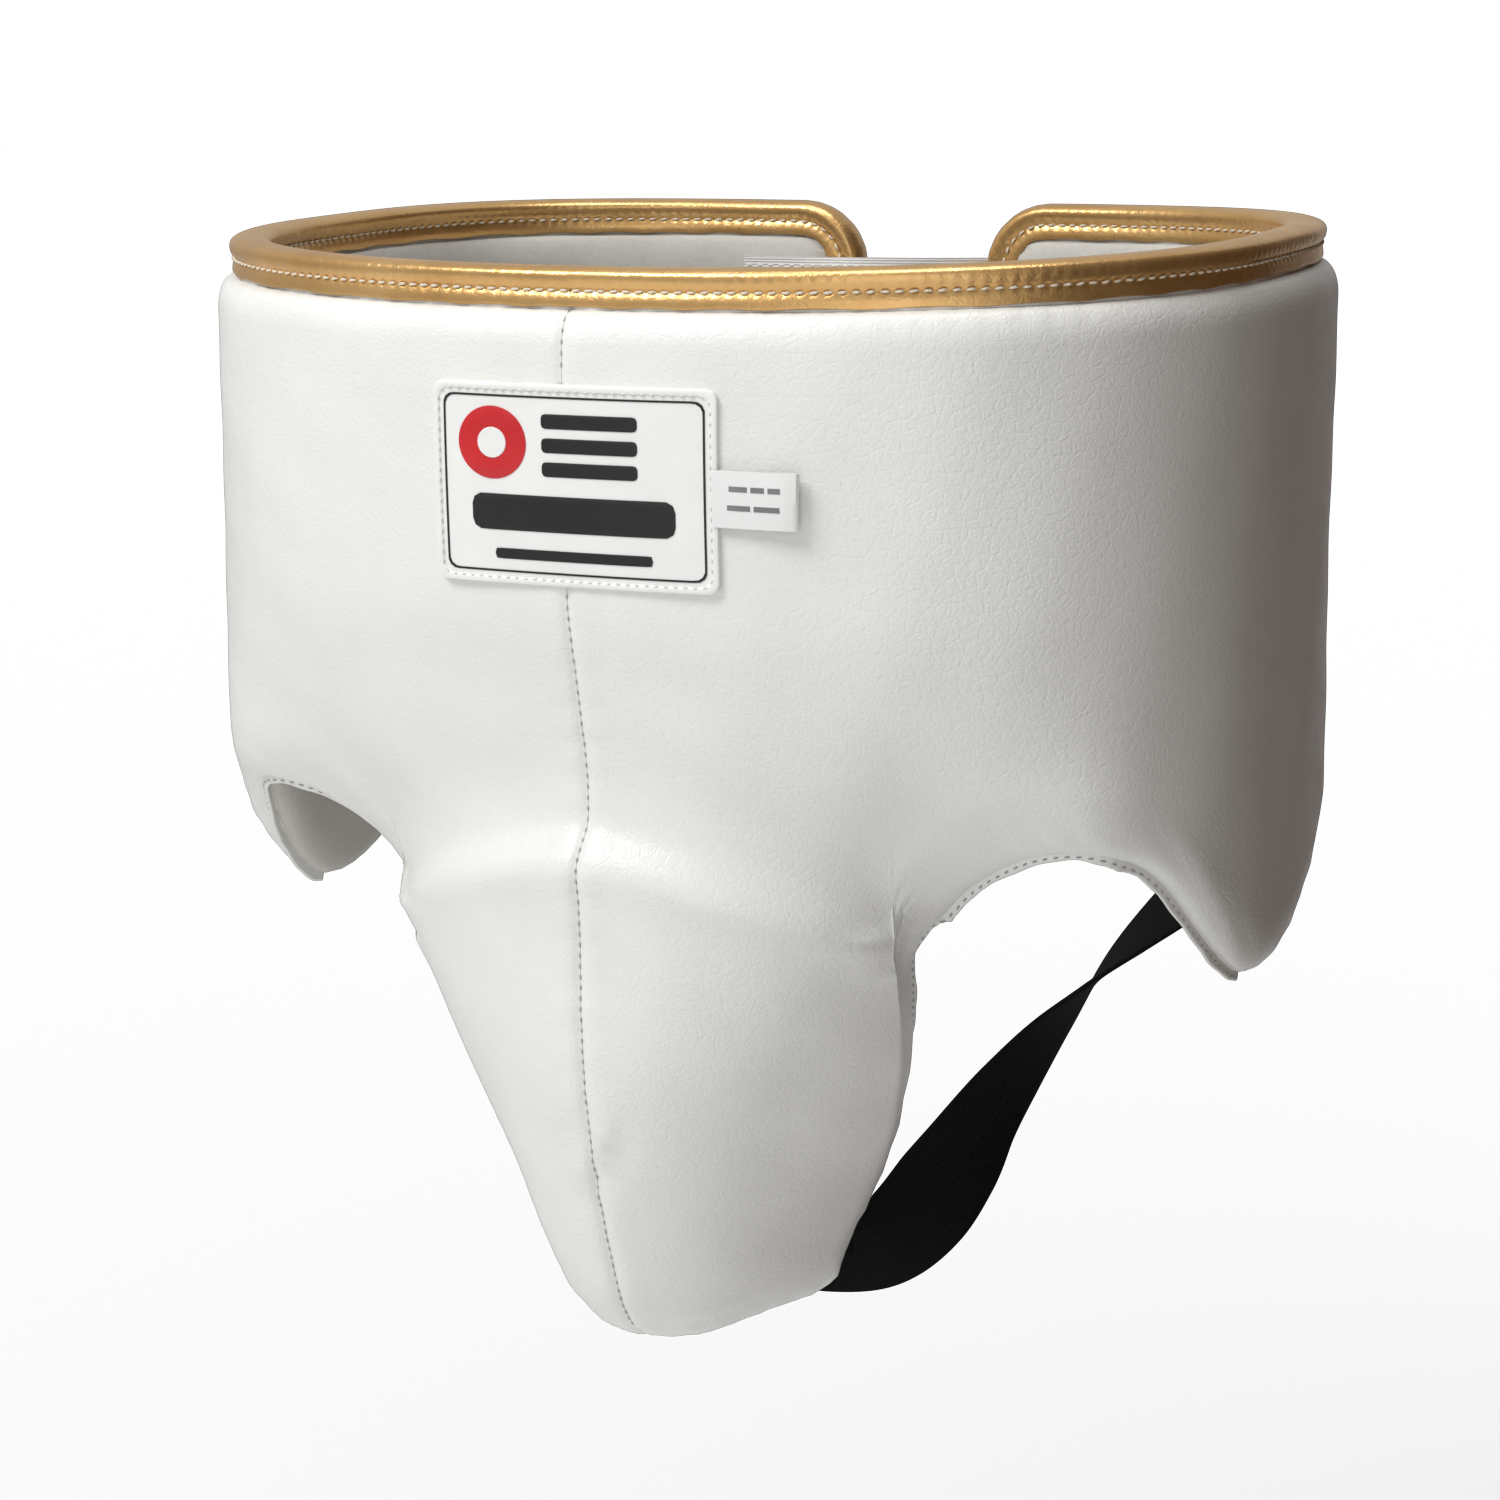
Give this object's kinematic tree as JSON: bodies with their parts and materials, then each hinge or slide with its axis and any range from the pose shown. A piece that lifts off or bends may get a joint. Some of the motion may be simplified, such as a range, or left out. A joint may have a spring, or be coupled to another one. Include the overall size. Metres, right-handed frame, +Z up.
{
  "type": "boxing groin protector",
  "caption": "Padded boxing groin protector worn round the waist, with a cup in its front tongue, leg straps and a rear closure strap.",
  "frame": {"origin": "centre of the waist opening, level with the top of the binding at the sides", "axes": "+Z up along the wearer's spine, -Y to the wearer's front, +X to the wearer's left"},
  "size_m": [0.3506, 0.2915, 0.3577],
  "materials": {
    "white_leather": "smooth semi-gloss synthetic leather",
    "gold_leather": "metallic gold synthetic leather",
    "lining_fabric": "brushed off-white lining",
    "foam": "closed-cell foam",
    "cup_foam": "dense dark foam",
    "cup_plastic": "satin moulded plastic",
    "black_elastic": "woven elastic",
    "white_webbing": "flat woven webbing",
    "hook_tape": "hook tape",
    "loop_tape": "brushed loop tape",
    "satin_tag": "satin ribbon",
    "label_vinyl": "moulded soft vinyl",
    "label_black": "black print",
    "label_red": "red print"
  },
  "bodies": {
    "front": {"front_lining": "lining_fabric", "front_foam": "foam", "cup_cushion": "cup_foam", "cup_shell": "cup_plastic", "cup_back_pad": "cup_foam", "front_binding": "gold_leather", "label_patch": "label_vinyl", "label_border": "label_black", "label_emblem": "label_red", "label_bar_1": "label_black", "label_bar_2": "label_black", "label_bar_3": "label_black", "label_bar_4": "label_black", "label_bar_5": "label_black", "side_tag": "satin_tag", "front_cover_left": "white_leather", "front_cover_right": "white_leather", "front_edge_trim_left": "white_leather", "front_edge_trim_right": "white_leather", "leg_strap_left": "black_elastic", "leg_strap_right": "black_elastic"},
    "left_wing": {"wing_cover_left": "white_leather", "wing_foam_left": "foam", "wing_lining_left": "lining_fabric", "wing_binding_left": "gold_leather", "wing_edge_trim_left": "white_leather", "lining_strip_left": "lining_fabric", "loop_patch": "loop_tape"},
    "right_wing": {"wing_cover_right": "white_leather", "wing_foam_right": "foam", "wing_lining_right": "lining_fabric", "wing_binding_right": "gold_leather", "wing_edge_trim_right": "white_leather", "lining_strip_right": "lining_fabric", "closure_root": "white_webbing"},
    "closure_strap": {"closure_strap": "white_webbing", "hook_patch": "hook_tape"}
  },
  "joints": [
    {"name": "right_wing_flex", "type": "hinge", "parent": "front", "child": "right_wing", "pos_m": [-0.14769, -0.09226, -0.09], "axis": [0, 0, 1], "range_deg": [0, 25], "stiffness_Nm_per_rad": 1, "deforming": ["leg_strap_right"]},
    {"name": "left_wing_flex", "type": "hinge", "parent": "front", "child": "left_wing", "pos_m": [0.14769, -0.09226, -0.09], "axis": [0, 0, -1], "range_deg": [0, 25], "stiffness_Nm_per_rad": 1, "deforming": ["leg_strap_left"]},
    {"name": "closure_strap_peel", "type": "hinge", "parent": "right_wing", "child": "closure_strap", "pos_m": [-0.0104, 0.12943, -0.039], "axis": [0, 0, 1], "range_deg": [0, 110]}
  ],
  "couplings": [
    {"joint": "left_wing_flex", "follows": "right_wing_flex", "ratio": 1}
  ]
}
